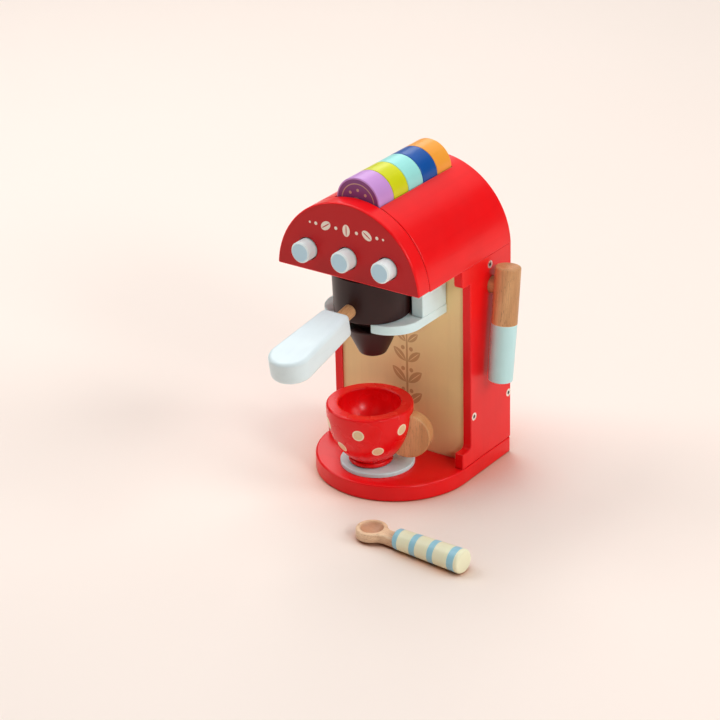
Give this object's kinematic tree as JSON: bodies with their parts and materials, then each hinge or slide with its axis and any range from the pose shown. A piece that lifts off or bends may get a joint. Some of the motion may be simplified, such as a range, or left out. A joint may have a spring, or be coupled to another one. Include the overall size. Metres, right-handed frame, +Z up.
{
  "type": "toy coffee maker",
  "caption": "Wooden toy coffee machine with turning knobs, pods in the top slot, a sliding portafilter, a frother wand, a cup on its disc and a spoon.",
  "frame": {"origin": "on the underside of the base, below the middle of the head's footprint", "axes": "+X to the user's right, -Y towards the user, +Z up"},
  "size_m": [0.1913, 0.2045, 0.2433],
  "materials": {
    "painted_red": "satin paint on wood",
    "painted_red_barrel": "satin paint on wood",
    "painted_cream": "satin paint on wood with a printed pattern",
    "painted_pale_blue": "satin paint on wood",
    "painted_brown": "satin paint on wood",
    "painted_aqua": "satin paint on wood",
    "painted_lilac": "satin paint on wood",
    "painted_lime": "satin paint on wood",
    "painted_pale_aqua": "satin paint on wood",
    "painted_navy": "satin paint on wood",
    "painted_orange": "satin paint on wood",
    "painted_cream_bands": "satin paint on wood with pale blue bands",
    "natural_wood": "clear varnish on hardwood",
    "bare_board": "bare board inside the housing",
    "nickel": "nickel plated"
  },
  "bodies": {
    "housing": {"base_plate": "painted_red", "side_panel_left": "painted_red", "side_panel_right": "painted_red", "front_panel": "painted_cream", "back_panel": "painted_red", "top_board": "bare_board", "head_front_plate": "painted_red", "head_barrel": "painted_red_barrel", "head_back_plate": "painted_red", "head_floor": "bare_board", "pod_tray_floor": "bare_board", "pod_rail_left": "bare_board", "pod_rail_right": "bare_board", "bracket_plate": "painted_pale_blue", "bracket_cheek_left": "painted_pale_blue", "bracket_cheek_right": "painted_pale_blue", "drip_disc": "painted_pale_blue", "side_screws_left": "nickel", "side_screws_right": "nickel"},
    "left_knob": {"knob_left": "painted_pale_blue", "knob_collar_left": "natural_wood"},
    "centre_knob": {"knob_centre": "painted_pale_blue", "knob_collar_centre": "natural_wood"},
    "right_knob": {"knob_right": "painted_pale_blue", "knob_collar_right": "natural_wood"},
    "portafilter": {"portafilter_body": "painted_brown", "portafilter_dowel": "natural_wood", "portafilter_handle": "painted_pale_blue"},
    "cup": {"cup_body": "painted_red", "cup_handle": "natural_wood", "cup_handle_peg": "natural_wood"},
    "frother": {"frother_body": "natural_wood", "frother_tip": "painted_aqua", "frother_peg": "natural_wood"},
    "spoon": {"spoon_scoop": "natural_wood", "spoon_handle": "painted_cream_bands"},
    "lilac_pod": {"pod_lilac": "painted_lilac"},
    "lime_pod": {"pod_lime": "painted_lime"},
    "aqua_pod": {"pod_aqua": "painted_pale_aqua"},
    "navy_pod": {"pod_navy": "painted_navy"},
    "orange_pod": {"pod_orange": "painted_orange"}
  },
  "joints": [
    {"name": "left_knob_turn", "type": "hinge", "parent": "housing", "child": "left_knob", "pos_m": [-0.034, -0.06, 0.1875], "axis": [0, -1, 0], "continuous": true},
    {"name": "centre_knob_turn", "type": "hinge", "parent": "housing", "child": "centre_knob", "pos_m": [0, -0.06, 0.1875], "axis": [0, -1, 0], "continuous": true},
    {"name": "right_knob_turn", "type": "hinge", "parent": "housing", "child": "right_knob", "pos_m": [0.034, -0.06, 0.1875], "axis": [0, -1, 0], "continuous": true},
    {"name": "portafilter_slide", "type": "slide", "parent": "housing", "child": "portafilter", "axis": [0, -1, 0], "range_m": [0, 0.08]},
    {"name": "cup_slide", "type": "slide", "parent": "housing", "child": "cup", "axis": [0, -1, 0], "range_m": [0, 0.08]},
    {"name": "frother_swing", "type": "hinge", "parent": "housing", "child": "frother", "pos_m": [0.0606, 0.0344, 0.147], "axis": [1, 0, 0], "continuous": true},
    {"name": "lilac_pod_lift", "type": "slide", "parent": "housing", "child": "lilac_pod", "axis": [0, 0, 1], "range_m": [0, 0.06]},
    {"name": "lime_pod_lift", "type": "slide", "parent": "housing", "child": "lime_pod", "axis": [0, 0, 1], "range_m": [0, 0.06]},
    {"name": "aqua_pod_lift", "type": "slide", "parent": "housing", "child": "aqua_pod", "axis": [0, 0, 1], "range_m": [0, 0.06]},
    {"name": "navy_pod_lift", "type": "slide", "parent": "housing", "child": "navy_pod", "axis": [0, 0, 1], "range_m": [0, 0.06]},
    {"name": "orange_pod_lift", "type": "slide", "parent": "housing", "child": "orange_pod", "axis": [0, 0, 1], "range_m": [0, 0.06]},
    {"name": "spoon_lift", "type": "slide", "parent": "housing", "child": "spoon", "axis": [0, 0, 1], "range_m": [0, 0.1]}
  ]
}
